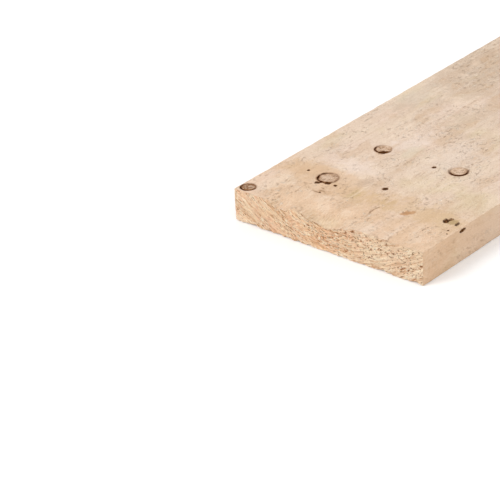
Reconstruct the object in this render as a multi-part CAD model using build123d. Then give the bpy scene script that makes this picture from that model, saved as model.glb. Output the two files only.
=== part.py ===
from build123d import *
import os
from math import atan2, degrees, hypot

# A rough-sawn softwood plank, lying flat.
# X runs along the plank, Y across it and Z through its thickness.
# The origin is at the middle of the underside, on the floor.
# The near end is at -X and the near edge at -Y. All sizes are in millimetres.

# Overall size as sawn
LENGTH = 2000.0
WIDTH = 195.0
THICKNESS = 30.0

# The saw leaves the long arrises nearly sharp, and handling rounds them
LONG_ARRIS_RADIUS = 0.8
END_ARRIS_CHAMFER = 0.5

# The bark ring round a dead knot has shrunk to an open groove
RING_GAP = 0.8
RING_DEPTH = 1.4

# Dead knots: along from an end, inset from an edge, diameter on the upper face.
# A positive distance is taken from the near end or edge, a negative one from the far end or edge.
END_KNOT = (9.3, -8.2, 13.4)
LARGE_KNOT = (60.3, -52.0, 18.2)
MIDDLE_KNOT = (129.5, -56.5, 15.0)
SINGLE_KNOT = (131.3, 61.0, 16.0)
SECOND_WHORL_KNOT = (566.0, 43.0, 19.0)
THIRD_WHORL_KNOT = (1012.0, -71.0, 17.0)
FAR_WHORL_KNOT = (-412.0, 88.0, 20.0)
DEAD_KNOTS = (
    END_KNOT,
    LARGE_KNOT,
    MIDDLE_KNOT,
    SINGLE_KNOT,
    SECOND_WHORL_KNOT,
    THIRD_WHORL_KNOT,
    FAR_WHORL_KNOT,
)

# A branch climbs and thickens from the upper face, which was nearer the heart of the log,
# so on the underside its knot is this much further along the plank and larger across
BRANCH_CLIMB = 6.0
BRANCH_GROWTH = 1.2

# Bark pockets beside the near edge: along, inset from the near edge, length, width
WIDE_POCKET = (56.0, 17.0, 10.0, 5.0)
NARROW_POCKET = (55.6, 7.0, 6.0, 3.0)
# A third one lies in the edge itself: along, drop from the upper face, length, width
EDGE_POCKET = (53.2, 2.8, 7.6, 2.2)
POCKET_DEPTH = 2.4
POCKET_WALL_SLOPE = 12.0

# Splinters torn off the upper arris of the near end:
# inset of the middle, width on the end face, depth on the end face, reach along the plank
LARGE_TEAR = (-94.5, 60.0, 7.6, 26.0)
SMALL_TEAR = (-48.5, 28.0, 5.4, 18.0)
TEARS = (LARGE_TEAR, SMALL_TEAR)

# Cutters stand this far out of the faces that they cut
CLEAR = 1.0


def along_to_x(along):
    """X of a distance taken from the near end, or from the far end if negative."""
    if along >= 0:
        return along - LENGTH / 2
    return LENGTH / 2 + along


def inset_to_y(inset):
    """Y of a distance taken from the near edge, or from the far edge if negative."""
    if inset >= 0:
        return inset - WIDTH / 2
    return WIDTH / 2 + inset


def sawn_blank():
    """The section with its four rounded arrises, drawn out to length and cut square."""
    section = Plane.YZ * Pos(0, THICKNESS / 2) * RectangleRounded(WIDTH, THICKNESS, LONG_ARRIS_RADIUS)
    blank = extrude(section, amount=LENGTH / 2, both=True)
    near_end = blank.faces().sort_by(Axis.X)[0]
    far_end = blank.faces().sort_by(Axis.X)[-1]
    return chamfer(near_end.edges() + far_end.edges(), END_ARRIS_CHAMFER)


def branch_section(knot, height, inner):
    """The round section of a leaning branch at a height, with or without its bark ring."""
    along, inset, diameter = knot
    sunk = (THICKNESS - height) / THICKNESS
    middle = (along_to_x(along) + BRANCH_CLIMB * sunk, inset_to_y(inset), height)
    radius = (diameter + BRANCH_GROWTH * sunk) / 2
    if inner:
        radius -= RING_GAP
    return Plane(origin=middle, z_dir=(0, 0, 1)) * Circle(radius)


def ring_cutter(knot, low, high):
    """The open bark ring of a knot between two heights, a conical sleeve that leans with the branch."""
    outside = loft([branch_section(knot, low, False), branch_section(knot, high, False)])
    inside = loft([branch_section(knot, low, True), branch_section(knot, high, True)])
    return outside - inside


def knot_cutters(knot):
    """The bark ring of one dead knot where its branch meets the upper face and the underside."""
    return [
        ring_cutter(knot, THICKNESS - RING_DEPTH, THICKNESS + CLEAR),
        ring_cutter(knot, -CLEAR, RING_DEPTH),
    ]


def pocket_cutter(face_plane, length, width):
    """A bark pocket: a pit whose outline is two arcs that meet in points."""
    start = (-length / 2, 0)
    end = (length / 2, 0)
    upper_arc = ThreePointArc(start, (0, width / 2), end)
    lower_arc = ThreePointArc(end, (0, -width / 2), start)
    outline = make_face(Curve() + [upper_arc, lower_arc])
    return extrude(face_plane * outline, amount=-POCKET_DEPTH, taper=POCKET_WALL_SLOPE)


def face_pocket_cutter(pocket):
    """A bark pocket in the upper face."""
    along, inset, length, width = pocket
    middle = (along_to_x(along), inset_to_y(inset), THICKNESS)
    return pocket_cutter(Plane(origin=middle, x_dir=(1, 0, 0), z_dir=(0, 0, 1)), length, width)


def edge_pocket_cutter(pocket):
    """A bark pocket in the near edge."""
    along, drop, length, width = pocket
    middle = (along_to_x(along), -WIDTH / 2, THICKNESS - drop)
    return pocket_cutter(Plane(origin=middle, x_dir=(1, 0, 0), z_dir=(0, -1, 0)), length, width)


def tear_cutter(tear):
    """A leaning round bar: it leaves a scallop that is deepest at the end and runs out on the upper face."""
    inset, width, depth, reach = tear
    radius = (width ** 2 / 4 + depth ** 2) / (2 * depth)
    lean = degrees(atan2(depth, reach))
    run_out = hypot(depth, reach)
    bar = Cylinder(radius, 2 * run_out)
    lowest_line_at_end = Pos(-LENGTH / 2, inset_to_y(inset), THICKNESS - depth)
    return lowest_line_at_end * Rot(0, -lean, 0) * Pos(0, 0, radius) * Rot(0, 90, 0) * bar


def plank_solid():
    """The plank with its knot rings, bark pockets and torn end."""
    body = sawn_blank()
    cutters = []
    for knot in DEAD_KNOTS:
        cutters += knot_cutters(knot)
    for pocket in (WIDE_POCKET, NARROW_POCKET):
        cutters.append(face_pocket_cutter(pocket))
    cutters.append(edge_pocket_cutter(EDGE_POCKET))
    for tear in TEARS:
        cutters.append(tear_cutter(tear))
    for cutter in cutters:
        body -= cutter
    return body.solids().sort_by(SortBy.VOLUME)[-1]


os.makedirs("parts", exist_ok=True)
plank = plank_solid()
export_step(plank, "parts/plank.step")
print("plank", round(plank.volume / 1000, 1), "cm3")
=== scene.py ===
import bpy
import math
import numpy as np
from collections import namedtuple
from mathutils import Matrix, Vector, noise


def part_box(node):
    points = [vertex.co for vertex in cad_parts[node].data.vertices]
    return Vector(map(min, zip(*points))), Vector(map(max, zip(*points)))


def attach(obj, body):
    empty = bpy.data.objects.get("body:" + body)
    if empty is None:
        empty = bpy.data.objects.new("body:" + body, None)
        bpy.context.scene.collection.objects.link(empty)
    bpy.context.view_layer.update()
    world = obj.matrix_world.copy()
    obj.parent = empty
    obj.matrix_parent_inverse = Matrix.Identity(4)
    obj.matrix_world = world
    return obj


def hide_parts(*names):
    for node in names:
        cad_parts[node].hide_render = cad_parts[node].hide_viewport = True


# A rough-sawn softwood plank lying on a plain pale floor.
# Places on the plank are in millimetres: along from the near end, across from the near edge,
# and height above the underside. Blender's own objects are in metres.

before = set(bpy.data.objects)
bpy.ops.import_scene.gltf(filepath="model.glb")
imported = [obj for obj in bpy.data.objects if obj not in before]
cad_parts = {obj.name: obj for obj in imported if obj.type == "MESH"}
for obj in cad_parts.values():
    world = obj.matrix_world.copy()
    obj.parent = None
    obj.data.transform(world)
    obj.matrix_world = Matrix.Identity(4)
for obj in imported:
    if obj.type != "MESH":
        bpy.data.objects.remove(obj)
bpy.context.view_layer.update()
plank_low, plank_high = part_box("plank")

MM = 0.001
LENGTH = (plank_high.x - plank_low.x) / MM
WIDTH = (plank_high.y - plank_low.y) / MM
THICKNESS = (plank_high.z - plank_low.z) / MM
NEAR_CORNER = Vector(plank_low)

# The log: where its heart runs and how it wanders, its taper and growth rings,
# and how a branch leans and thickens on its way out
HEART_ACROSS = 88.0
HEART_HEIGHT = 150.0
WANDER_ACROSS = 34.0
WANDER_UP = 22.0
TAPER = 0.006
RING_SPACING = 3.1
RING_WOBBLE = 5.0
KNOT_SWELL = 5.0
BRANCH_CLIMB = 6.0
BRANCH_GROWTH = 1.2

# Knots: diameter on the upper face, how dark the heart is, how open the rim is,
# the way to the rim's shaded side in degrees from along, and how unevenly the rim's painted shade falls.
# A negative distance is taken from the far end or the far edge.
Knot = namedtuple("Knot", "along across diameter dark rim shaded_way uneven")
KNOTS = (
    Knot(9.3, -8.2, 13.4, 0.95, 1.0, 160.0, 0.8),
    Knot(60.3, -52.0, 18.2, 0.16, 1.0, 140.0, 1.0),
    Knot(129.5, -56.5, 15.0, 0.16, 1.0, 168.0, 1.8),
    Knot(131.3, 61.0, 16.0, 0.0, 0.95, 222.0, 1.7),
    Knot(566.0, 43.0, 19.0, 0.5, 1.0, 170.0, 1.3),
    Knot(1012.0, -71.0, 17.0, 0.4, 1.0, 130.0, 1.0),
    Knot(-412.0, 88.0, 20.0, 0.35, 1.0, 200.0, 1.5),
    Knot(541.0, 121.0, 12.0, 0.5, 0.35, 150.0, 1.0),
    Knot(588.0, -28.0, 9.0, 0.6, 0.3, 190.0, 1.0),
    Knot(978.0, 47.0, 13.0, 0.45, 0.35, 120.0, 1.0),
    Knot(1036.0, -17.0, 10.0, 0.7, 0.4, 160.0, 1.0),
    Knot(-444.0, 33.0, 11.0, 0.6, 0.3, 230.0, 1.0),
    Knot(-385.0, -46.0, 14.0, 0.4, 0.35, 140.0, 1.0),
)
# A rim that is more open than this is a groove
OPEN_RIM = 0.8
RIM_GAP = 0.9
RIM_DEPTH = 1.3
HEART_HOLLOW = 0.35

# Pin knots and specks of bark
Spot = namedtuple("Spot", "along across diameter")
PINS = (
    Spot(71.3, 91.8, 4.2),
    Spot(126.0, 82.3, 3.2),
    Spot(62.0, 165.3, 2.2),
    Spot(36.0, 132.5, 1.8),
    Spot(42.5, 6.6, 1.6),
    Spot(37.4, 4.1, 1.3),
    Spot(352.0, 148.0, 3.0),
    Spot(705.0, 66.0, 3.6),
    Spot(1190.0, 139.0, 3.2),
    Spot(1402.0, 58.0, 3.8),
    Spot(1755.0, 118.0, 3.0),
)
PIN_DEPTH = 0.9

# Bark pockets: the turn of the long axis in degrees, and how much bark is left in them
Pocket = namedtuple("Pocket", "along across length width turn bark")
POCKETS = (
    Pocket(54.6, 17.8, 7.0, 4.6, 30.0, 0.95),
    Pocket(58.4, 16.2, 5.4, 3.4, -20.0, 0.85),
    Pocket(55.6, 7.2, 6.6, 2.8, 10.0, 0.72),
)
POCKET_DEPTH = 2.2
# One lies in the near edge
EdgePocket = namedtuple("EdgePocket", "along height length width")
EDGE_POCKET = EdgePocket(53.2, 27.2, 7.6, 2.2)

# Splinters torn from the upper arris of the near end: half width towards the near edge
# and towards the far edge, depth on the end face, and reach along the plank
Tear = namedtuple("Tear", "across near_half far_half depth reach")
TEARS = (
    Tear(100.5, 31.0, 30.0, 7.6, 26.0),
    Tear(146.5, 15.0, 14.0, 5.6, 18.0),
)
# Between these two places across, with a little to spare, and this far along
TORN_FROM = 66.0
TORN_TO = 166.0
TORN_REACH = 30.0

# Chips broken from the lower arris of the sawn ends
CHIP_HEIGHT = 1.8
CHIP_REACH = 6.0

ARRIS_RADIUS = 0.9
# The saw's marks cross the grain a little aslant
SAW_PITCH = 5.6
SAW_SLANT = 0.07


def along_of(distance):
    """A distance along, measured from the near end."""
    return distance if distance >= 0 else LENGTH + distance


def across_of(distance):
    """A distance across, measured from the near edge."""
    return distance if distance >= 0 else WIDTH + distance


# Mesh

# Cells of the box along, across and through, and how often one may be halved
BASE_CELLS = (264, 26, 4)
LEVELS = 4
FINEST = 2 ** LEVELS
# Sizes of cell that are asked for, each a little over a halving of the coarsest
COARSE, ROOMY, MIDDLING, SMALL, SMALLEST = 7.6, 3.8, 1.9, 1.0, 0.5
# The stretch that the photograph shows, which gets smaller cells
NEAR_VIEW = 255.0
# Strips beside the arrises
NEAR_END_STRIP, FAR_END_STRIP, FACE_STRIP, UNDERSIDE_END_STRIP = 2.5, 2.0, 1.9, 7.0
TORN_DROP = 12.0
# Margins round the features
KNOT_MARGIN, RIM_MARGIN, PIN_MARGIN, POCKET_MARGIN, EDGE_POCKET_MARGIN = 5.0, 1.2, 0.6, 1.2, 1.0

# Depth of the relief on the faces, on the sawn ends and along the arrises
UNEVEN_RELIEF, SAW_RELIEF, FIBRE_RELIEF = 0.28, 0.05, 0.06
EARLY_WOOD_RELIEF, TORN_END_RELIEF, END_WAVE_RELIEF = 0.1, 0.5, 0.2
END_NICKS, EDGE_NICKS = 1.4, 0.4


def smooth_step(low, high, value):
    """0 below low, 1 above high, and a smooth rise between them."""
    share = np.clip((value - low) / (high - low), 0.0, 1.0)
    return share * share * (3.0 - 2.0 * share)


def lumps(places, size, seed=0):
    """Soft noise from -1 to 1 with lumps of the given size in millimetres along each axis."""
    scaled = places / np.asarray(size, float) + seed * 17.3
    return np.array([noise.noise(Vector(place)) for place in scaled])


def knot_on_face(knot, upper):
    """Along, across and radius of a knot on the upper face or the underside."""
    along, across = along_of(knot.along), across_of(knot.across)
    if upper:
        return along, across, knot.diameter / 2
    return along + BRANCH_CLIMB, across, (knot.diameter + BRANCH_GROWTH) / 2


def finer(wanted, where, size):
    """The wanted sizes, but no larger than size in the given places."""
    return np.where(where, np.minimum(wanted, size), wanted)


def end_cells(places, side):
    """How large a cell may be on the near end, side 0, or on the far one."""
    across, height = places[:, 1], places[:, 2]
    to_arris = np.minimum(height, THICKNESS - height)
    if side == 1:
        return np.where(to_arris < FAR_END_STRIP, SMALL, MIDDLING)
    torn = (across > TORN_FROM) & (across < TORN_TO) & (to_arris < TORN_DROP)
    torn = torn & (height > THICKNESS / 2)
    return np.where(torn | (to_arris < NEAR_END_STRIP), SMALLEST, SMALL)


def edge_cells(places, side):
    """How large a cell may be on the near edge, side 0, or on the far one."""
    along, height = places[:, 0], places[:, 2]
    wanted = np.where(along < NEAR_VIEW, MIDDLING, ROOMY)
    if side == 1:
        return wanted
    off = np.hypot(along - EDGE_POCKET.along, (height - EDGE_POCKET.height) * 2.0)
    return finer(wanted, off < EDGE_POCKET.length / 2 + EDGE_POCKET_MARGIN, SMALLEST)


def face_cells(places, side):
    """How large a cell may be on the underside, side 0, or on the upper face."""
    along, across = places[:, 0], places[:, 1]
    in_view = along < NEAR_VIEW
    to_edge = np.minimum(across, WIDTH - across)
    to_end = np.minimum(along, LENGTH - along)
    wanted = np.where(in_view, MIDDLING, ROOMY) if side == 1 else np.full(len(places), COARSE)
    wanted = finer(wanted, (to_edge < FACE_STRIP) & in_view, SMALL)
    wanted = finer(wanted, to_edge < FACE_STRIP, ROOMY)
    wanted = finer(wanted, to_end < FACE_STRIP, SMALL)
    for knot in KNOTS:
        middle_along, middle_across, radius = knot_on_face(knot, side == 1)
        off = np.hypot(along - middle_along, across - middle_across)
        wanted = finer(wanted, off < radius + KNOT_MARGIN, MIDDLING)
        if knot.rim > OPEN_RIM:
            wanted = finer(wanted, np.abs(off - radius + RIM_GAP / 2) < RIM_MARGIN, SMALLEST)
    if side == 0:
        return finer(wanted, to_end < UNDERSIDE_END_STRIP, SMALL)
    torn = (along < TORN_REACH) & (across > TORN_FROM) & (across < TORN_TO)
    wanted = finer(wanted, torn, SMALL)
    wanted = finer(wanted, along < NEAR_END_STRIP, SMALLEST)
    for spot in PINS:
        off = np.hypot(along - spot.along, across - spot.across)
        wanted = finer(wanted, off < spot.diameter / 2 + PIN_MARGIN, SMALLEST)
    for pocket in POCKETS:
        off = np.hypot(along - pocket.along, across - pocket.across)
        wanted = finer(wanted, off < pocket.length / 2 + POCKET_MARGIN, SMALLEST)
    return wanted


def face_leaves(axis, side):
    """The cells of one face of the box: their lowest corners and sizes on the finest lattice."""
    u, v = [other for other in range(3) if other != axis]
    counts = np.array(BASE_CELLS)
    cell_size = np.array((LENGTH, WIDTH, THICKNESS)) / counts / FINEST
    wanted_size = (end_cells, edge_cells, face_cells)[axis]
    grid = np.indices((counts[u], counts[v])).reshape(2, -1).T * FINEST
    corners = np.zeros((len(grid), 3), int)
    corners[:, u], corners[:, v] = grid[:, 0], grid[:, 1]
    corners[:, axis] = counts[axis] * FINEST * side
    leaves = []
    size = FINEST
    while True:
        middle = corners.astype(float)
        middle[:, [u, v]] += size / 2
        # A cell that is only just too large is let be
        wanted = wanted_size(middle * cell_size, side)
        split = (wanted < cell_size[v] * size * 0.99) & (size > 1)
        leaves += [(tuple(corner), size) for corner in corners[~split].tolist()]
        if not split.any():
            return leaves
        size //= 2
        parents = corners[split]
        children = []
        for step_u, step_v in ((0, 0), (1, 0), (0, 1), (1, 1)):
            child = parents.copy()
            child[:, u] += step_u * size
            child[:, v] += step_v * size
            children.append(child)
        corners = np.concatenate(children)


def lattice_box():
    """Corner places in millimetres and polygons of a closed box, with finer cells where wanted."""
    faces = {(axis, side): face_leaves(axis, side) for axis in range(3) for side in (0, 1)}
    known = {}
    for (axis, side), leaves in faces.items():
        u, v = [other for other in range(3) if other != axis]
        for corner, size in leaves:
            for step_u, step_v in ((0, 0), (1, 0), (1, 1), (0, 1)):
                point = list(corner)
                point[u] += step_u * size
                point[v] += step_v * size
                known.setdefault(tuple(point), len(known))
    polygons = []
    for (axis, side), leaves in faces.items():
        u, v = [other for other in range(3) if other != axis]
        outward = (side == 1) != (axis == 1)
        for corner, size in leaves:
            # The ring takes in the corners of smaller neighbours, so that no gap opens
            ring = []
            point = list(corner)
            for way, step in ((u, 1), (v, 1), (u, -1), (v, -1)):
                for _ in range(size):
                    if tuple(point) in known:
                        ring.append(known[tuple(point)])
                    point[way] += step
            polygons.append(ring if outward else ring[::-1])
    lattice = np.array(list(known), float)
    sizes = np.array((LENGTH, WIDTH, THICKNESS))
    return lattice / (np.array(BASE_CELLS) * FINEST) * sizes, polygons


def rounded(places):
    """The box with its arrises rounded, and the outward direction at each place."""
    sizes = np.array((LENGTH, WIDTH, THICKNESS))
    inner = np.clip(places, ARRIS_RADIUS, sizes - ARRIS_RADIUS)
    out = places - inner
    out /= np.linalg.norm(out, axis=1)[:, None]
    return inner + out * ARRIS_RADIUS, out


def ring_phase(places):
    """How many growth rings out from the heart each place lies."""
    across = places[:, 1] - HEART_ACROSS
    below = HEART_HEIGHT - places[:, 2]
    return np.hypot(across, below) / RING_SPACING


def tear_depth(along, across):
    """How far the splinters that are torn from the near end lower the upper face."""
    depth = np.zeros(len(along))
    places = np.stack([along, across, np.zeros(len(along))], axis=1)
    jag = 3.5 * lumps(places, (9.0, 6.0, 9.0), 9) + 3.2 * lumps(places, (16.0, 2.6, 5.0), 10)
    for tear in TEARS:
        half = np.where(across < tear.across, tear.near_half, tear.far_half)
        off = (across + jag - tear.across) / half
        bowl = np.clip(1.0 - off * off, 0.0, 1.0) ** 1.3
        depth = np.maximum(depth, tear.depth * bowl * (1.0 - smooth_step(-4.0, tear.reach, along)))
    return depth * (1.08 + 0.32 * lumps(places, (22.0, 3.8, 5.0), 14))


def chip_height(along, across):
    """How far the ragged lower arris of a sawn end rises above the underside."""
    places = np.stack([across, along, np.zeros(len(along))], axis=1)
    ragged = lumps(places, (9.0, 16.0, 9.0), 12) + 0.9 * lumps(places, (3.8, 7.0, 5.0), 13)
    to_end = np.minimum(along, LENGTH - along)
    return CHIP_HEIGHT * np.clip(0.25 + ragged, 0.0, 1.0) * (1.0 - smooth_step(0.0, CHIP_REACH, to_end))


def knot_pits(places, ragged, upper):
    """Depth of the open rims and the hollow hearts of the knots."""
    along, across = places[:, 0], places[:, 1]
    depth = np.zeros(len(places))
    for knot in KNOTS:
        middle_along, middle_across, radius = knot_on_face(knot, upper)
        off = np.hypot(along - middle_along, across - middle_across)
        if knot.rim > OPEN_RIM:
            inside = off - radius + RIM_GAP / 2
            groove = np.clip(1.15 - (inside / (RIM_GAP / 2 + 0.25)) ** 2, 0.0, 1.0)
            way = np.arctan2(across - middle_across, along - middle_along) - math.radians(knot.shaded_way)
            opened = np.clip(0.7 + 0.4 * knot.uneven * np.cos(way), 0.15, 1.0)
            depth = np.maximum(depth, groove * opened * RIM_DEPTH * (0.75 + 0.5 * ragged))
        hollow = HEART_HOLLOW * (1.0 - smooth_step(radius * 0.2, radius, off))
        depth = np.maximum(depth, hollow)
    return depth


def pin_pits(places):
    """Depth of the pin knots, which have shrunk a little."""
    depth = np.zeros(len(places))
    for spot in PINS:
        off = np.hypot(places[:, 0] - spot.along, places[:, 1] - spot.across) / (spot.diameter / 2)
        depth = np.maximum(depth, PIN_DEPTH * np.clip(1.2 - off * off, 0.0, 1.0))
    return depth


def pocket_pits(places, ragged):
    """Depth of the bark pockets in the upper face."""
    depth = np.zeros(len(places))
    for pocket in POCKETS:
        turn = math.radians(pocket.turn)
        off_along, off_across = places[:, 0] - pocket.along, places[:, 1] - pocket.across
        lengthwise = off_along * math.cos(turn) + off_across * math.sin(turn)
        crosswise = off_across * math.cos(turn) - off_along * math.sin(turn)
        off = np.hypot(lengthwise / pocket.length * 2, crosswise / pocket.width * 2)
        pit = np.clip(1.15 - off * off + 0.35 * ragged, 0.0, 1.0)
        depth = np.maximum(depth, POCKET_DEPTH * pit)
    return depth


def face_pits(places, upper):
    """Depth of every pit in the upper face or the underside."""
    ragged = lumps(places, 1.7, 3)
    depth = knot_pits(places, ragged, upper)
    if upper:
        depth = np.maximum(depth, pin_pits(places))
        depth = np.maximum(depth, pocket_pits(places, ragged))
    return depth


def edge_pit(places):
    """Depth of the bark pocket in the near edge."""
    lengthwise = (places[:, 0] - EDGE_POCKET.along) / EDGE_POCKET.length * 2
    upwards = (places[:, 2] - EDGE_POCKET.height) / EDGE_POCKET.width * 2
    pit = np.clip(1.1 - lengthwise ** 2 - upwards ** 2 + 0.3 * lumps(places, 1.3, 4), 0.0, 1.0)
    return POCKET_DEPTH * pit


def sawn_relief(places):
    """Depth of the saw's waves and the general unevenness of the sawn faces."""
    uneven = 0.5 + 0.5 * lumps(places, (55.0, 26.0, 18.0), 1)
    saw_way = places[:, 0] + SAW_SLANT * places[:, 1] + 3.0 * lumps(places, (90.0, 40.0, 30.0), 2)
    saw = np.sin(saw_way * 2.0 * math.pi / (SAW_PITCH * 2.0))
    fibres = lumps(places, (9.0, 2.2, 2.2), 5)
    return UNEVEN_RELIEF * uneven + SAW_RELIEF * (1.0 + saw) + FIBRE_RELIEF * (1.0 + fibres)


def end_relief(places):
    """Depth of the early wood between the rings and of the torn fibres on a sawn end."""
    ring = ring_phase(places)
    early = 0.5 + 0.5 * np.cos(2.0 * math.pi * ring)
    on_rings = np.stack([ring * RING_SPACING, places[:, 1], places[:, 0]], axis=1)
    torn = np.clip(lumps(on_rings, (1.7, 4.6, 9.0), 6) * 1.5 + 0.3, 0.0, 1.0)
    coarse = 0.5 + 0.5 * smooth_step(WIDTH * 0.85, WIDTH * 0.3, places[:, 1])
    waves = 1.0 + lumps(places, (30.0, 16.0, 12.0), 7)
    return EARLY_WOOD_RELIEF * early + TORN_END_RELIEF * torn * coarse + END_WAVE_RELIEF * waves


def shaped(places):
    """The lattice of the box brought to the plank's shape, in millimetres."""
    shape, out = rounded(places)
    on_end = np.abs(out[:, 0])
    on_edge = np.abs(out[:, 1])
    on_face = np.abs(out[:, 2])
    depth = sawn_relief(shape) * np.maximum(on_face, on_edge) ** 2
    depth += end_relief(shape) * on_end ** 2
    arris = (np.maximum.reduce([on_end, on_edge, on_face]) < 0.95).astype(float)
    nicks = np.clip(lumps(shape, (14.0, 6.0, 4.0), 8) + 0.5 * lumps(shape, (5.0, 2.0, 2.0), 11), 0.0, 1.0)
    depth += arris * np.where(on_end > 0.4, END_NICKS, EDGE_NICKS) * nicks
    upper = out[:, 2] > 0.9
    under = out[:, 2] < -0.9
    near_edge = out[:, 1] < -0.9
    depth[upper] += face_pits(shape[upper], True)
    depth[under] += face_pits(shape[under], False)
    depth[near_edge] += edge_pit(shape[near_edge])
    # A torn splinter shortens the end face below it, so heights are squeezed and not cut
    chip = chip_height(shape[:, 0], shape[:, 1])
    squeeze = 1.0 - (tear_depth(shape[:, 0], shape[:, 1]) + chip) / THICKNESS
    shape = shape - out * depth[:, None]
    shape[:, 2] = chip + shape[:, 2] * squeeze
    return np.clip(shape, 0.0, (LENGTH, WIDTH, THICKNESS))


def plank_mesh():
    """The plank as one closed mesh, in metres."""
    places, polygons = lattice_box()
    corners = shaped(places) * MM + np.array(NEAR_CORNER)
    mesh = bpy.data.meshes.new("plank_wood")
    mesh.from_pydata(corners.tolist(), [], polygons)
    mesh.validate()
    mesh.shade_smooth()
    mesh.set_sharp_from_angle(angle=math.radians(50.0))
    return mesh


# Material. Tones are sRGB levels of 0 to 255.

# The sawn faces, from the near end to beyond the photograph
NEAR_END_WOOD = (231, 198, 167)
NEAR_WOOD = (229, 206, 185)
MIDDLE_WOOD = (209, 187, 166)
FAR_WOOD = (227, 201, 173)
EDGE_WOOD = (209, 172, 136)
LATE_WOOD = (186, 142, 102)
PINK_PATCH = (236, 211, 195)
GREEN_PATCH = (217, 197, 160)
PALE_PATCH = (240, 218, 196)
BROWN_PATCH = (212, 181, 150)
DARK_BAND = (192, 154, 116)
PALE_BAND = (244, 222, 198)
DARK_STREAK = (184, 148, 114)
PALE_STREAK = (247, 228, 208)
DARK_FLECK = (172, 133, 98)
PALE_FLECK = (252, 238, 220)
DARK_FUZZ = (172, 136, 104)
SPLINT = (150, 110, 78)
DARK_TEAR = (196, 156, 120)
PALE_TEAR = (250, 226, 198)
# Painted shade in the crevice below the torn splinters
TEAR_SHADOW = (146, 100, 64)

# The sawn ends
END_WOOD = (255, 220, 182)
END_PINK = (254, 210, 174)
END_ORANGE = (255, 205, 158)
END_PALE = (255, 230, 198)
END_LATE_WOOD = (216, 160, 114)
DARK_WAVE = (214, 160, 116)
PALE_WAVE = (255, 233, 204)
DARK_CLUMP = (176, 116, 72)
PALE_CLUMP = (255, 234, 203)
DARK_GRIT = (150, 90, 48)
PALE_GRIT = (255, 239, 213)
PORE = (138, 80, 36)

# Knots and bark
HEART = (220, 192, 167)
OUTER_HEART = (216, 187, 160)
DARK_HEART = (128, 88, 56)
HEART_BROWN = (176, 134, 98)
HEART_PALE = (240, 216, 192)
BRANCH_RING = (166, 124, 90)
HEART_CHECK = (126, 86, 56)
HEART_FIBRE = (244, 222, 198)
HALO = (156, 104, 60)
RIM = (68, 30, 2)
BARK = (60, 26, 2)
BARK_STAIN = (150, 100, 52)
POCKET_BARK = (62, 28, 2)
POCKET_CRUMB = (134, 86, 42)

# Stains on the upper face that the photograph shows
Stain = namedtuple("Stain", "along across half_length half_width turn tone strength soft ragged")
STAINS = (
    Stain(54.0, 44.0, 13.0, 44.0, 0.0, (216, 183, 143), 0.55, 0.6, 0.7),
    Stain(50.0, 108.0, 10.0, 24.0, 0.0, (216, 183, 143), 0.45, 0.6, 0.7),
    Stain(63.0, 170.0, 14.0, 26.0, 0.0, (219, 182, 142), 0.5, 0.6, 0.7),
    Stain(150.0, 78.0, 26.0, 15.0, 0.0, (232, 214, 200), 0.4, 0.7, 0.8),
    Stain(56.0, 140.0, 22.0, 34.0, 0.0, (221, 186, 152), 0.5, 0.12, 0.12),
    Stain(90.0, 135.0, 11.0, 17.0, 0.0, (243, 224, 211), 0.5, 0.6, 0.8),
    Stain(150.0, 126.0, 22.0, 10.0, -14.0, (238, 220, 208), 0.5, 0.6, 0.8),
    Stain(45.5, 52.0, 4.8, 2.8, -10.0, (196, 147, 107), 0.85, 0.4, 0.8),
    Stain(50.5, 48.0, 5.0, 2.4, -45.0, (196, 150, 110), 0.8, 0.4, 0.8),
    Stain(52.0, 72.0, 7.0, 5.5, 20.0, (206, 175, 136), 0.5, 0.6, 1.0),
    Stain(55.5, 11.8, 4.5, 5.5, 0.0, (186, 158, 116), 0.85, 0.4, 0.4),
    Stain(71.0, 112.0, 8.0, 6.0, -20.0, (203, 176, 152), 0.6, 0.5, 0.6),
    Stain(48.5, 107.0, 6.0, 3.5, 0.0, (208, 182, 138), 0.5, 0.6, 0.8),
    Stain(38.0, 132.0, 6.5, 6.5, 0.0, (200, 164, 130), 0.45, 0.6, 1.0),
    Stain(35.0, 134.5, 0.8, 4.0, 0.0, (150, 112, 80), 0.75, 0.5, 0.5),
    Stain(39.0, 132.0, 0.7, 3.2, 8.0, (150, 112, 80), 0.7, 0.5, 0.5),
    Stain(43.0, 135.5, 0.7, 2.4, -6.0, (150, 112, 80), 0.6, 0.5, 0.5),
    Stain(33.5, 76.8, 4.0, 0.8, 4.0, (158, 122, 92), 0.75, 0.5, 0.6),
    Stain(41.0, 76.2, 2.4, 0.8, -6.0, (158, 122, 92), 0.7, 0.5, 0.6),
    Stain(58.0, 105.8, 40.0, 0.8, 0.5, (240, 216, 192), 0.4, 0.5, 0.6),
    Stain(137.0, 115.0, 10.0, 6.5, 0.0, (216, 200, 172), 0.45, 0.7, 0.8),
    Stain(187.0, 97.0, 12.0, 6.0, -55.0, (212, 186, 164), 0.4, 0.6, 0.8),
    Stain(214.0, 118.0, 16.0, 8.0, 10.0, (208, 186, 160), 0.4, 0.7, 1.2),
    Stain(228.0, 178.0, 26.0, 12.0, 0.0, (217, 204, 186), 0.4, 0.7, 0.8),
    Stain(205.0, 172.0, 9.0, 8.0, 0.0, (208, 180, 156), 0.4, 0.7, 1.0),
)

# Dark flecks of bark beside the knots
Fleck = namedtuple("Fleck", "along across half_length half_width turn")
FLECKS = (
    Fleck(49.2, 144.0, 2.9, 1.5, -25.0),
    Fleck(52.4, 137.4, 3.0, 2.3, -60.0),
    Fleck(52.4, 129.2, 1.3, 1.7, 0.0),
    Fleck(124.3, 135.0, 3.9, 3.1, -45.0),
    Fleck(48.0, 145.8, 2.0, 1.3, 10.0),
)

WOOD_ROUGHNESS = 0.82
WOOD_GLOSS = 0.05


def linear(level):
    """One sRGB level of 0 to 255 as a linear share."""
    share = level / 255.0
    if share <= 0.04045:
        return share / 12.92
    return ((share + 0.055) / 1.055) ** 2.4


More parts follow.
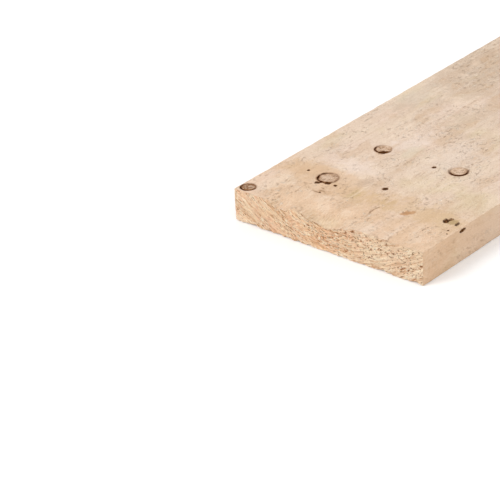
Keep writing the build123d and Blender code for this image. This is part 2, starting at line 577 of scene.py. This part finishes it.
def colour(given):
    """A tone as Blender's linear colour; a socket or a number passes through."""
    if not isinstance(given, tuple):
        return given
    return (*(linear(level) for level in given), 1.0)


class Nodes:
    """Short names for the shader nodes of one tree."""

    def __init__(self, tree):
        self.tree = tree

    def add(self, kind, **settings):
        made = self.tree.nodes.new(kind)
        for name, value in settings.items():
            setattr(made, name, value)
        return made

    def feed(self, socket, value):
        if isinstance(value, bpy.types.NodeSocket):
            self.tree.links.new(value, socket)
        elif value is not None:
            socket.default_value = value

    def math(self, operation, first, second=None, third=None):
        made = self.add("ShaderNodeMath", operation=operation)
        for socket, value in zip(made.inputs, (first, second, third)):
            self.feed(socket, value)
        return made.outputs[0]

    def vector(self, operation, first, second=None, third=None, scale=None, out=0):
        made = self.add("ShaderNodeVectorMath", operation=operation)
        for socket, value in zip(made.inputs, (first, second, third)):
            self.feed(socket, value)
        if scale is not None:
            self.feed(made.inputs["Scale"], scale)
        return made.outputs[out]

    def split(self, vector):
        made = self.add("ShaderNodeSeparateXYZ")
        self.feed(made.inputs[0], vector)
        return made.outputs

    def join(self, x, y, z):
        made = self.add("ShaderNodeCombineXYZ")
        for socket, value in zip(made.inputs, (x, y, z)):
            self.feed(socket, value)
        return made.outputs[0]

    def noise(self, place, size, detail=2.0, roughness=0.5, warp=0.0):
        """Noise round 0.5 with lumps of the given size in millimetres."""
        sizes = (size,) * 3 if isinstance(size, (int, float)) else size
        scaled = self.vector("MULTIPLY", place, tuple(1.0 / each for each in sizes))
        made = self.add("ShaderNodeTexNoise")
        self.feed(made.inputs["Vector"], scaled)
        self.feed(made.inputs["Scale"], 1.0)
        self.feed(made.inputs["Detail"], detail)
        self.feed(made.inputs["Roughness"], roughness)
        self.feed(made.inputs["Distortion"], warp)
        return made.outputs["Fac"]

    def rise(self, value, low, high, start=0.0, end=1.0):
        """A smooth change from start to end while value goes from low to high."""
        made = self.add("ShaderNodeMapRange", interpolation_type="SMOOTHSTEP")
        for name, given in (
            ("Value", value),
            ("From Min", low),
            ("From Max", high),
            ("To Min", start),
            ("To Max", end),
        ):
            self.feed(made.inputs[name], given)
        return made.outputs["Result"]

    def mix(self, share, first, second):
        made = self.add("ShaderNodeMix", data_type="RGBA", blend_type="MIX")
        self.feed(made.inputs["Factor"], share)
        self.feed(made.inputs["A"], colour(first))
        self.feed(made.inputs["B"], colour(second))
        return made.outputs["Result"]

    def lay(self, base, tone, field, low, high, share=1.0):
        """base with a tone laid over it, up to the given share, as field goes from low to high."""
        return self.mix(self.math("MULTIPLY", self.rise(field, low, high), share), base, tone)


def knot_group():
    """Node group: how one knot pushes the grain aside, and how a place lies to its rim and shaded side."""
    tree = bpy.data.node_groups.new("round a knot", "ShaderNodeTree")
    for name, kind in (
        ("Place", "NodeSocketVector"),
        ("Middle", "NodeSocketVector"),
        ("Radius", "NodeSocketFloat"),
        ("Shaded Way", "NodeSocketVector"),
    ):
        tree.interface.new_socket(name, in_out="INPUT", socket_type=kind)
    for name in ("Shift", "Radii", "Shade"):
        tree.interface.new_socket(name, in_out="OUTPUT", socket_type="NodeSocketFloat")
    g = Nodes(tree)
    given = g.add("NodeGroupInput").outputs
    off = g.vector("SUBTRACT", given["Place"], given["Middle"])
    distance = g.vector("LENGTH", off, out=1)
    radii = g.math("DIVIDE", distance, given["Radius"])
    held = g.math("MAXIMUM", g.math("MULTIPLY", radii, radii), 1.0)
    shift = g.math("DIVIDE", g.split(off)[1], held)
    shade = g.vector("DOT_PRODUCT", g.vector("NORMALIZE", off), given["Shaded Way"], out=1)
    result = g.add("NodeGroupOutput")
    g.feed(result.inputs["Shift"], shift)
    g.feed(result.inputs["Radii"], radii)
    g.feed(result.inputs["Shade"], shade)
    return tree


def around_knots(g, place, group):
    """How a place lies to the knots, as named sockets: the grain's shift, the distance to the
    closest knot in its radii, and that knot's dark heart, rim and shade."""
    along, across, height = g.split(place)
    sunk = g.math("SUBTRACT", 1.0, g.math("DIVIDE", height, THICKNESS))
    leaned = g.join(g.math("SUBTRACT", along, g.math("MULTIPLY", sunk, BRANCH_CLIMB)), across, 0.0)
    growth = g.math("MULTIPLY", sunk, BRANCH_GROWTH / 2)
    shift, closest, dark, rim, shade = 0.0, 99.0, 0.0, 0.0, 0.0
    for knot in KNOTS:
        turn = math.radians(knot.shaded_way)
        shaded_way = (knot.uneven * math.cos(turn), knot.uneven * math.sin(turn), 0.0)
        made = g.add("ShaderNodeGroup", node_tree=group)
        g.feed(made.inputs["Place"], leaned)
        g.feed(made.inputs["Middle"], (along_of(knot.along), across_of(knot.across), 0.0))
        g.feed(made.inputs["Radius"], g.math("ADD", growth, knot.diameter / 2))
        g.feed(made.inputs["Shaded Way"], shaded_way)
        shift = g.math("ADD", shift, made.outputs["Shift"])
        near = g.math("LESS_THAN", made.outputs["Radii"], 1.6)
        closest = g.math("MINIMUM", closest, made.outputs["Radii"])
        dark = g.math("MULTIPLY_ADD", near, knot.dark, dark)
        rim = g.math("MULTIPLY_ADD", near, knot.rim, rim)
        shade = g.math("MULTIPLY_ADD", near, made.outputs["Shade"], shade)
    return {"shift": shift, "closest": closest, "dark": dark, "rim": rim, "shade": shade}


def spot_mask(g, place, spot, half_sizes, turn, soft, ragged, grain):
    """A soft oval on the upper face, made uneven by grain: 1 inside, 0 outside."""
    off = g.vector("SUBTRACT", place, (spot[0], spot[1], 0.0))
    if turn:
        rotate = g.add("ShaderNodeVectorRotate", rotation_type="Z_AXIS")
        g.feed(rotate.inputs["Vector"], off)
        g.feed(rotate.inputs["Angle"], math.radians(-turn))
        off = rotate.outputs[0]
    scaled = g.vector("MULTIPLY", off, (1.0 / half_sizes[0], 1.0 / half_sizes[1], 0.0))
    distance = g.vector("LENGTH", scaled, out=1)
    distance = g.math("MULTIPLY_ADD", grain, ragged * 2.0, g.math("SUBTRACT", distance, ragged))
    return g.rise(distance, 1.0 + soft, 1.0 - soft)


def ring_radius(g, along, fibre, closest):
    """Distance from the log's wandering heart, which the growth rings follow."""
    wander = g.noise(g.join(along, 0.0, 0.0), 420.0, detail=2.0)
    wander_up = g.noise(g.join(along, 500.0, 0.0), 360.0, detail=2.0)
    fibre_parts = g.split(fibre)
    side_way = g.math("SUBTRACT", fibre_parts[1], HEART_ACROSS)
    side_way = g.math("MULTIPLY_ADD", g.math("SUBTRACT", wander, 0.5), WANDER_ACROSS, side_way)
    down = g.math("SUBTRACT", HEART_HEIGHT, fibre_parts[2])
    down = g.math("MULTIPLY_ADD", g.math("SUBTRACT", wander_up, 0.5), WANDER_UP, down)
    down = g.math("MULTIPLY_ADD", along, TAPER, down)
    radius = g.vector("LENGTH", g.join(side_way, down, 0.0), out=1)
    swell = g.math("DIVIDE", KNOT_SWELL, g.math("ADD", 1.0, g.math("MULTIPLY", closest, closest)))
    radius = g.math("ADD", radius, swell)
    wobble = g.noise(fibre, (120.0, 18.0, 18.0), detail=3.0)
    return g.math("MULTIPLY_ADD", g.math("SUBTRACT", wobble, 0.5), RING_WOBBLE, radius)


def grain_fields(g, place, knots):
    """Noise and growth rings through the solid wood, as named sockets."""
    along, across, height = g.split(place)
    fibre = g.join(along, g.math("SUBTRACT", across, knots["shift"]), height)
    radius = ring_radius(g, along, fibre, knots["closest"])
    phase = g.math("FRACT", g.math("DIVIDE", radius, RING_SPACING))
    return {
        "late": g.math("MULTIPLY", g.rise(phase, 0.2, 0.85), g.rise(phase, 1.0, 0.88)),
        "radius": radius,
        "streaks": g.noise(fibre, (60.0, 2.6, 2.6), detail=3.0, roughness=0.6),
        "clumps": g.noise(fibre, (5.0, 3.3, 3.3), detail=4.0, roughness=0.7),
        "splints": g.noise(fibre, (22.0, 1.9, 1.9), detail=2.0, roughness=0.5),
        "fuzz": g.noise(fibre, (2.2, 1.1, 1.1), detail=2.0, roughness=0.6),
        "mottle": g.noise(place, (30.0, 20.0, 20.0), detail=3.0, roughness=0.6, warp=0.5),
        "tint": g.noise(place, (75.0, 38.0, 30.0), detail=2.0, roughness=0.55, warp=0.4),
        "broad": g.noise(place, (260.0, 80.0, 40.0), detail=1.0),
        "bands": g.noise(fibre, (340.0, 9.0, 9.0), detail=2.0),
        "patchy": g.rise(g.noise(place, (38.0, 17.0, 17.0), detail=2.0), 0.42, 0.62, 0.3, 1.0),
    }


def place_fields(g, place, facing):
    """Which part of the plank a place lies on, as named sockets from 0 to 1, and its way to the end."""
    along, across, height = g.split(place)
    to_end = g.math("MINIMUM", along, g.math("SUBTRACT", LENGTH, along))
    on_end = g.math("MULTIPLY", g.rise(g.math("ABSOLUTE", facing[0]), 0.45, 0.75), g.rise(to_end, 3.5, 2.5))
    on_top = g.math("MULTIPLY", g.rise(facing[2], 0.3, 0.6), g.rise(height, 16.0, 20.0))
    in_tear = g.math("MULTIPLY", g.rise(height, THICKNESS - 0.9, THICKNESS - 2.4), on_top)
    return {
        "to_end": to_end,
        "on_end": on_end,
        "on_top": on_top,
        "on_edge": g.rise(g.math("ABSOLUTE", facing[1]), 0.55, 0.8),
        "in_top": g.math("MULTIPLY", g.rise(height, 22.0, 24.0), g.rise(across, 0.2, 1.2)),
        "in_near_edge": g.rise(across, 4.0, 3.0),
        "in_tear": g.math("MULTIPLY", in_tear, g.rise(along, TORN_REACH, TORN_REACH - 6.0)),
    }


def face_colour(g, place, fields, on_edge):
    """Colour of the sawn faces and edges: pale, blotched, with torn fibres in rough patches."""
    along = g.split(place)[0]
    far = g.rise(along, 260.0, 560.0)
    base = g.mix(g.rise(along, 10.0, 110.0), NEAR_END_WOOD, NEAR_WOOD)
    base = g.mix(g.rise(along, 150.0, 320.0), base, MIDDLE_WOOD)
    base = g.mix(g.math("MULTIPLY", far, g.rise(fields["broad"], 0.35, 0.65)), base, FAR_WOOD)
    base = g.lay(base, PINK_PATCH, fields["tint"], 0.52, 0.68, 0.45)
    base = g.lay(base, GREEN_PATCH, fields["tint"], 0.47, 0.3, 0.6)
    base = g.lay(base, PALE_PATCH, fields["mottle"], 0.5, 0.66, 0.5)
    base = g.lay(base, BROWN_PATCH, fields["mottle"], 0.5, 0.34, 0.48)
    # Beyond the near end's rough stretch the rings, bands and streaks show more
    late_share = g.math("MULTIPLY_ADD", far, 0.26, 0.06)
    base = g.mix(g.math("MULTIPLY", fields["late"], late_share), base, LATE_WOOD)
    band_share = g.math("MULTIPLY_ADD", far, 0.28, 0.12)
    base = g.lay(base, DARK_BAND, fields["bands"], 0.48, 0.36, band_share)
    base = g.lay(base, PALE_BAND, fields["bands"], 0.54, 0.66, band_share)
    streak_share = g.math("MULTIPLY_ADD", far, 0.3, 0.14)
    base = g.lay(base, DARK_STREAK, fields["streaks"], 0.45, 0.28, streak_share)
    base = g.lay(base, PALE_STREAK, fields["streaks"], 0.56, 0.74, streak_share)
    # Torn fibres show less there, and less on the edges
    torn = g.math("MULTIPLY_ADD", on_edge, -0.3, 1.0)
    torn = g.math("MULTIPLY", torn, g.math("MULTIPLY_ADD", far, -0.35, 1.0))
    torn = g.math("MULTIPLY", torn, fields["patchy"])
    base = g.lay(base, DARK_FLECK, fields["clumps"], 0.44, 0.33, g.math("MULTIPLY", torn, 0.36))
    base = g.lay(base, PALE_FLECK, fields["clumps"], 0.55, 0.66, g.math("MULTIPLY", torn, 0.6))
    base = g.lay(base, SPLINT, fields["splints"], 0.33, 0.27, g.math("MULTIPLY_ADD", far, 0.22, 0.26))
    base = g.lay(base, DARK_FUZZ, fields["fuzz"], 0.43, 0.32, 0.3)
    base = g.lay(base, PALE_FLECK, fields["fuzz"], 0.57, 0.68, 0.3)
    return g.mix(g.math("MULTIPLY", on_edge, 0.4), base, EDGE_WOOD)


def torn_colour(g, base, in_tear, fibres):
    """The fibres that the torn splinters left bare, laid over the wood's colour."""
    dark = g.math("MULTIPLY", in_tear, g.rise(fibres, 0.48, 0.36, 0.0, 0.2))
    pale = g.math("MULTIPLY", in_tear, g.rise(fibres, 0.53, 0.64, 0.0, 0.35))
    return g.mix(pale, g.mix(dark, base, DARK_TEAR), PALE_TEAR)


def stained(g, place, base, on_top):
    """The upper face's stains laid over the wood's colour."""
    grain = g.noise(place, (8.0, 5.5, 5.5), detail=3.0, roughness=0.6)
    for stain in STAINS:
        half_sizes = (stain.half_length, stain.half_width)
        spot = spot_mask(g, place, stain, half_sizes, stain.turn, stain.soft, stain.ragged * 2.2, grain)
        base = g.mix(g.math("MULTIPLY", g.math("MULTIPLY", spot, on_top), stain.strength), base, stain.tone)
    return base


def knot_rim(g, edge, broken, knots):
    """The dark bark rim, which is wider on its shaded side and darker there with painted shade."""
    start = g.math("MULTIPLY_ADD", knots["shade"], -0.03, g.math("MULTIPLY_ADD", broken, 0.3, 0.73))
    band = g.rise(edge, g.math("SUBTRACT", start, 0.05), start)
    band = g.math("MULTIPLY", band, g.rise(edge, 1.09, 1.04))
    # painted shade: the rim darkens towards its shaded side and fades on the other side
    strength = g.math("MULTIPLY_ADD", knots["shade"], 0.42, 0.72)
    strength = g.math("MAXIMUM", g.math("MINIMUM", strength, 1.0), 0.08)
    strength = g.math("MULTIPLY", strength, g.rise(broken, 0.66, 0.5, 0.6, 1.0))
    return g.math("MULTIPLY", band, g.math("MULTIPLY", strength, knots["rim"]))


def knotted(g, place, base, knots):
    """The knots laid over the wood's colour: heart, rings of the branch, dark rim and a halo, both deepened
    with painted shade on their shaded side.
    """
    fine = g.noise(place, 2.6, detail=3.0, roughness=0.65)
    broken = g.noise(place, 4.5, detail=3.0, roughness=0.6)
    edge = g.math("MULTIPLY_ADD", g.math("SUBTRACT", fine, 0.5), 0.2, knots["closest"])
    branch_ring = g.math("SINE", g.math("MULTIPLY", edge, 34.0))
    heart = g.mix(g.rise(edge, 0.2, 0.9), HEART, OUTER_HEART)
    heart = g.mix(knots["dark"], heart, DARK_HEART)
    heart = g.lay(heart, HEART_BROWN, broken, 0.5, 0.38, 0.4)
    heart = g.lay(heart, HEART_PALE, broken, 0.52, 0.64, 0.35)
    heart = g.lay(heart, BRANCH_RING, branch_ring, 0.0, 1.0, 0.35)
    heart = g.lay(heart, HEART_CHECK, fine, 0.46, 0.36, 0.62)
    heart = g.lay(heart, HEART_FIBRE, fine, 0.54, 0.64, 0.4)
    base = g.mix(g.rise(edge, 1.0, 0.93), base, heart)
    halo = g.math("MULTIPLY", g.rise(edge, 0.6, 0.92), g.rise(edge, 1.25, 1.04))
    # painted shade: the brown halo is laid more strongly on the knot's shaded side
    halo_share = g.math("MAXIMUM", g.math("MULTIPLY_ADD", knots["shade"], 0.22, 0.42), 0.1)
    base = g.mix(g.math("MULTIPLY", halo, g.math("MULTIPLY", knots["rim"], halo_share)), base, HALO)
    return g.mix(knot_rim(g, edge, broken, knots), base, RIM)


def pocket_mask(g, place, where, grain):
    """The bark that is left in the pockets of the upper face and of the near edge."""
    pits = 0.0
    for pocket in POCKETS:
        half_sizes = (pocket.length * 0.55, pocket.width * 0.55)
        mask = spot_mask(g, place, pocket, half_sizes, pocket.turn, 0.25, 0.6, grain)
        pits = g.math("MAXIMUM", pits, g.math("MULTIPLY", mask, pocket.bark))
    pits = g.math("MULTIPLY", pits, where["in_top"])
    along, across, height = g.split(place)
    half_sizes = (EDGE_POCKET.length * 0.55, EDGE_POCKET.width * 0.7)
    edge_mask = spot_mask(g, g.join(along, height, 0.0), EDGE_POCKET, half_sizes, 0.0, 0.3, 0.5, grain)
    return g.math("MAXIMUM", pits, g.math("MULTIPLY", edge_mask, where["in_near_edge"]))


def marked(g, place, base, where):
    """Pin knots, flecks of bark and bark pockets laid over the wood's colour."""
    grain = g.noise(place, 2.1, detail=3.0, roughness=0.65)
    marks = 0.0
    for spot in PINS:
        mask = spot_mask(g, place, spot, (spot.diameter * 0.6, spot.diameter * 0.52), 0.0, 0.5, 0.3, grain)
        marks = g.math("MAXIMUM", marks, mask)
    for fleck in FLECKS:
        mask = spot_mask(g, place, fleck, (fleck.half_length, fleck.half_width), fleck.turn, 0.4, 1.1, grain)
        marks = g.math("MAXIMUM", marks, mask)
    marks = g.math("MULTIPLY", marks, where["in_top"])
    base = g.mix(g.rise(marks, 0.0, 0.45, 0.0, 0.75), base, BARK_STAIN)
    base = g.mix(g.rise(marks, 0.3, 0.8, 0.0, 0.86), base, BARK)
    bark = g.mix(g.rise(grain, 0.42, 0.64), POCKET_BARK, POCKET_CRUMB)
    return g.mix(pocket_mask(g, place, where, grain), base, bark)


def end_fields(g, place, fields):
    """Clumps of torn fibre on a sawn end, drawn out along the growth rings, as named sockets."""
    along, across, height = g.split(place)
    on_rings = g.join(fields["radius"], across, along)
    coarse = g.math("MULTIPLY", g.rise(across, 175.0, 60.0, 0.25, 1.0), g.rise(height, 1.0, 12.0, 0.35, 1.0))
    return {
        "clumps": g.noise(on_rings, (1.3, 7.4, 9.0), detail=4.0, roughness=0.66, warp=0.3),
        "waves": g.noise(on_rings, (3.6, 34.0, 9.0), detail=2.0, roughness=0.55, warp=0.2),
        "grit": g.noise(on_rings, (1.15, 3.8, 6.0), detail=2.0, roughness=0.6),
        "pores": g.noise(place, (6.0, 2.9, 1.7), detail=2.0, roughness=0.5),
        "coarse": coarse,
        "patchy": g.rise(g.noise(on_rings, (7.0, 24.0, 20.0), detail=1.0), 0.4, 0.58, 0.35, 1.0),
    }


def end_colour(g, place, fields, end):
    """Colour of the sawn ends: warmer than the faces, with open pores and torn clumps."""
    along, across, height = g.split(place)
    # The far end was cut with a sharper saw, so its growth rings show better
    clean = g.rise(along, LENGTH * 0.4, LENGTH * 0.6)
    wood = g.mix(g.rise(fields["mottle"], 0.42, 0.6), END_WOOD, END_PINK)
    orange = g.math("MULTIPLY", g.rise(across, 60.0, 105.0), g.rise(across, 160.0, 115.0))
    wood = g.mix(g.math("MULTIPLY", orange, 0.5), wood, END_ORANGE)
    wood = g.mix(g.rise(across, 85.0, 40.0, 0.0, 0.6), wood, END_PALE)
    late_share = g.math("MULTIPLY_ADD", clean, 0.4, 0.22)
    wood = g.mix(g.math("MULTIPLY", fields["late"], late_share), wood, END_LATE_WOOD)
    wood = g.lay(wood, DARK_WAVE, end["waves"], 0.47, 0.38, 0.5)
    wood = g.lay(wood, PALE_WAVE, end["waves"], 0.53, 0.62, 0.5)
    patchy = g.math("MULTIPLY", end["patchy"], g.math("MULTIPLY_ADD", clean, -0.5, 1.0))
    wood = g.lay(wood, DARK_CLUMP, end["clumps"], 0.43, 0.37, g.math("MULTIPLY", patchy, 0.85))
    wood = g.lay(wood, PALE_CLUMP, end["clumps"], 0.54, 0.62, patchy)
    wood = g.lay(wood, DARK_GRIT, end["grit"], 0.41, 0.36, g.math("MULTIPLY", patchy, 0.95))
    wood = g.lay(wood, PALE_GRIT, end["grit"], 0.57, 0.64, patchy)
    pores = g.math("MULTIPLY", g.rise(end["pores"], 0.4, 0.34), end["coarse"])
    return g.mix(g.math("MULTIPLY", pores, g.math("MULTIPLY_ADD", clean, -0.4, 0.7)), wood, PORE)


def tear_shadow_line(g, place, facing, to_end, clumps):
    """The painted shade in the crevice along the broken arris below the torn splinters: 1 there, 0
    elsewhere.
    """
    height = g.split(place)[2]
    slope = g.math("MULTIPLY", g.rise(facing[2], 0.15, 0.4), g.rise(facing[2], 0.9, 0.65))
    beside = g.math("MULTIPLY", g.rise(to_end, 3.0, 1.5), g.rise(height, 28.2, 27.0))
    broken = g.math("MULTIPLY", g.rise(height, 12.0, 14.0), g.rise(clumps, 0.58, 0.44))
    return g.math("MULTIPLY", g.math("MULTIPLY", slope, beside), broken)


def face_bumps(g, place, fields, where, fibres):
    """Height of the fibres and the saw's marks on the sawn faces and edges, in millimetres."""
    along, across, height = g.split(place)
    raised = g.rise(fields["clumps"], 0.56, 0.7, 0.0, 0.5)
    torn = g.math("SUBTRACT", raised, g.rise(fields["clumps"], 0.45, 0.33, 0.0, 0.5))
    share = g.math("MULTIPLY", fields["patchy"], g.math("MULTIPLY_ADD", where["on_edge"], -0.3, 1.0))
    bumps = g.math("MULTIPLY", torn, share)
    for name, depth in (("clumps", 0.35), ("streaks", 0.4), ("fuzz", 0.4)):
        bumps = g.math("MULTIPLY_ADD", g.math("SUBTRACT", fields[name], 0.5), depth, bumps)
    bumps = g.math("MULTIPLY_ADD", g.math("MULTIPLY", where["in_tear"], fibres), 0.7, bumps)
    # The saw's marks come and go
    saw_way = g.math("MULTIPLY_ADD", across, SAW_SLANT, g.math("MULTIPLY_ADD", fields["mottle"], 4.0, along))
    saw = g.math("SINE", g.math("MULTIPLY", saw_way, 2.0 * math.pi / SAW_PITCH))
    saw = g.math("MULTIPLY", saw, g.rise(fields["tint"], 0.5, 0.62))
    return g.math("MULTIPLY_ADD", saw, 0.06, bumps)


def end_bumps(g, end):
    """Height of the torn fibres and the open pores on the sawn ends, in millimetres."""
    bumps = g.math("MULTIPLY", g.math("SUBTRACT", end["waves"], 0.5), 2.6)
    bumps = g.math("ADD", g.rise(end["clumps"], 0.38, 0.62, 0.0, 0.6), bumps)
    bumps = g.math("ADD", g.rise(end["grit"], 0.4, 0.62, 0.0, 0.3), bumps)
    pit = g.math("MULTIPLY", g.rise(end["pores"], 0.42, 0.33, 0.0, -0.6), end["coarse"])
    return g.math("ADD", pit, bumps)


def bumped_normal(g, on_end, faces, ends):
    """The surface's direction with the faces' and the ends' bumps."""
    height = g.add("ShaderNodeMix", data_type="FLOAT")
    g.feed(height.inputs["Factor"], on_end)
    g.feed(height.inputs["A"], faces)
    g.feed(height.inputs["B"], ends)
    bump = g.add("ShaderNodeBump")
    g.feed(bump.inputs["Height"], height.outputs["Result"])
    g.feed(bump.inputs["Distance"], MM)
    g.feed(bump.inputs["Strength"], 1.0)
    return bump.outputs[0]


def new_material(name):
    """An empty material and its nodes."""
    material = bpy.data.materials.new(name)
    material.use_nodes = True
    material.node_tree.nodes.clear()
    return material, Nodes(material.node_tree)


def wood_material():
    """Sawn softwood, worked out through the solid from the log's heart, rings and branches."""
    material, g = new_material("sawn_wood")
    coordinates = g.add("ShaderNodeTexCoord").outputs
    corner = g.vector("SUBTRACT", coordinates["Object"], tuple(NEAR_CORNER))
    place = g.vector("SCALE", corner, scale=1.0 / MM)
    facing = g.split(coordinates["Normal"])
    where = place_fields(g, place, facing)
    knots = around_knots(g, place, knot_group())
    fields = grain_fields(g, place, knots)
    fibres = g.noise(place, (16.0, 1.3, 1.3), detail=3.0, roughness=0.6)
    end = end_fields(g, place, fields)

    base = face_colour(g, place, fields, where["on_edge"])
    base = torn_colour(g, base, where["in_tear"], fibres)
    base = stained(g, place, base, where["on_top"])
    base = knotted(g, place, base, knots)
    base = marked(g, place, base, where)
    finish = g.mix(where["on_end"], base, end_colour(g, place, fields, end))
    # Painted shade along the broken arris below the torn splinters
    arris = tear_shadow_line(g, place, facing, where["to_end"], end["clumps"])
    finish = g.mix(g.math("MULTIPLY", arris, 0.75), finish, TEAR_SHADOW)

    faces = face_bumps(g, place, fields, where, fibres)
    shader = g.add("ShaderNodeBsdfPrincipled")
    g.feed(shader.inputs["Base Color"], finish)
    g.feed(shader.inputs["Roughness"], WOOD_ROUGHNESS)
    g.feed(shader.inputs["Specular IOR Level"], WOOD_GLOSS)
    g.feed(shader.inputs["Normal"], bumped_normal(g, where["on_end"], faces, end_bumps(g, end)))
    g.feed(g.add("ShaderNodeOutputMaterial").inputs["Surface"], shader.outputs[0])
    return material


def make_plank():
    """The piece that stands for the CAD plank."""
    piece = bpy.data.objects.new("plank_wood", plank_mesh())
    bpy.context.collection.objects.link(piece)
    piece.data.materials.append(wood_material())
    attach(piece, "root")
    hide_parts("plank")


# Stage

FLOOR_HALF = 60.0
FLOOR_COLOUR = (246, 246, 246)
# What the camera sees on top of the floor's own colour, so that the floor runs out to white
FLOOR_GLOW = 0.13


def floor_material():
    """A dull pale floor."""
    material, g = new_material("floor")
    diffuse = g.add("ShaderNodeBsdfDiffuse")
    g.feed(diffuse.inputs["Color"], colour(FLOOR_COLOUR))
    glow = g.add("ShaderNodeEmission")
    seen = g.add("ShaderNodeLightPath").outputs["Is Camera Ray"]
    g.feed(glow.inputs["Strength"], g.math("MULTIPLY", seen, FLOOR_GLOW))
    both = g.add("ShaderNodeAddShader")
    g.feed(both.inputs[0], diffuse.outputs[0])
    g.feed(both.inputs[1], glow.outputs[0])
    g.feed(g.add("ShaderNodeOutputMaterial").inputs["Surface"], both.outputs[0])
    return material


def make_floor():
    """A wide pale floor that keeps the plank's soft shadow."""
    mesh = bpy.data.meshes.new("floor")
    corners = [(x * FLOOR_HALF, y * FLOOR_HALF, 0.0) for x, y in ((-1, -1), (1, -1), (1, 1), (-1, 1))]
    mesh.from_pydata(corners, [], [(0, 1, 2, 3)])
    floor = bpy.data.objects.new("floor", mesh)
    bpy.context.collection.objects.link(floor)
    floor.data.materials.append(floor_material())


# Light

WORLD_STRENGTH = 0.62

# Lamps: the way to each from the plank, its strength, and how soft it is in degrees
Sun = namedtuple("Sun", "name way strength softness")
SUNS = (
    Sun("key", (-0.66, 0.35, 0.7), 1.42, 25.0),
    Sun("fill", (-0.15, -0.9, 0.4), 0.72, 60.0),
    Sun("rim", (0.8, 0.2, 0.5), 0.35, 60.0),
)


def make_world():
    """An even pale surround; the camera, gloss and glass see it as white."""
    world = bpy.data.worlds.new("surround")
    bpy.context.scene.world = world
    world.use_nodes = True
    world.node_tree.nodes.clear()
    g = Nodes(world.node_tree)
    path = g.add("ShaderNodeLightPath").outputs
    seen = g.math("MAXIMUM", path["Is Glossy Ray"], path["Is Transmission Ray"])
    seen = g.math("MAXIMUM", path["Is Camera Ray"], seen)
    strength = g.math("MULTIPLY_ADD", seen, 1.0 - WORLD_STRENGTH, WORLD_STRENGTH)
    background = g.add("ShaderNodeBackground")
    g.feed(background.inputs["Color"], (1.0, 1.0, 1.0, 1.0))
    g.feed(background.inputs["Strength"], strength)
    g.feed(g.add("ShaderNodeOutputWorld").inputs["Surface"], background.outputs[0])


def make_suns():
    """Soft lamps so far away that they light the whole plank evenly."""
    for sun in SUNS:
        data = bpy.data.lights.new(sun.name, "SUN")
        data.energy = sun.strength
        data.angle = math.radians(sun.softness)
        lamp = bpy.data.objects.new(sun.name, data)
        lamp.rotation_mode = "QUATERNION"
        lamp.rotation_quaternion = Vector(sun.way).to_track_quat("Z", "Y")
        bpy.context.collection.objects.link(lamp)


# Camera: solved from the outlines in the photograph, placed from the plank's near lower corner

IMAGE_PIXELS = 500.0
FOCAL_PIXELS = 2412.7
SENSOR = 36.0
CAMERA_FROM_CORNER = (-1319.0, -1002.2, 932.5)
LOOK_DOWN = 28.354
TURN = -48.119
ROLL = -3.162
FAR_CLIP = 200.0


def make_camera():
    """The photograph's camera."""
    turn, down, roll = (math.radians(each) for each in (TURN, LOOK_DOWN, ROLL))
    look = Vector((-math.sin(turn) * math.cos(down), math.cos(turn) * math.cos(down), -math.sin(down)))
    level = Vector((math.cos(turn), math.sin(turn), 0.0))
    upright = level.cross(look)
    right = level * math.cos(roll) + upright * math.sin(roll)
    up = upright * math.cos(roll) - level * math.sin(roll)
    place = NEAR_CORNER + Vector(CAMERA_FROM_CORNER) * MM
    data = bpy.data.cameras.new("camera")
    data.sensor_width = SENSOR
    data.lens = FOCAL_PIXELS / IMAGE_PIXELS * SENSOR
    data.clip_end = FAR_CLIP
    camera = bpy.data.objects.new("camera", data)
    axes = Matrix((right, up, -look)).transposed().to_4x4()
    camera.matrix_world = Matrix.Translation(place) @ axes
    bpy.context.collection.objects.link(camera)
    bpy.context.scene.camera = camera


make_plank()
make_floor()
make_world()
make_suns()
make_camera()
bpy.context.scene.view_settings.view_transform = "Standard"
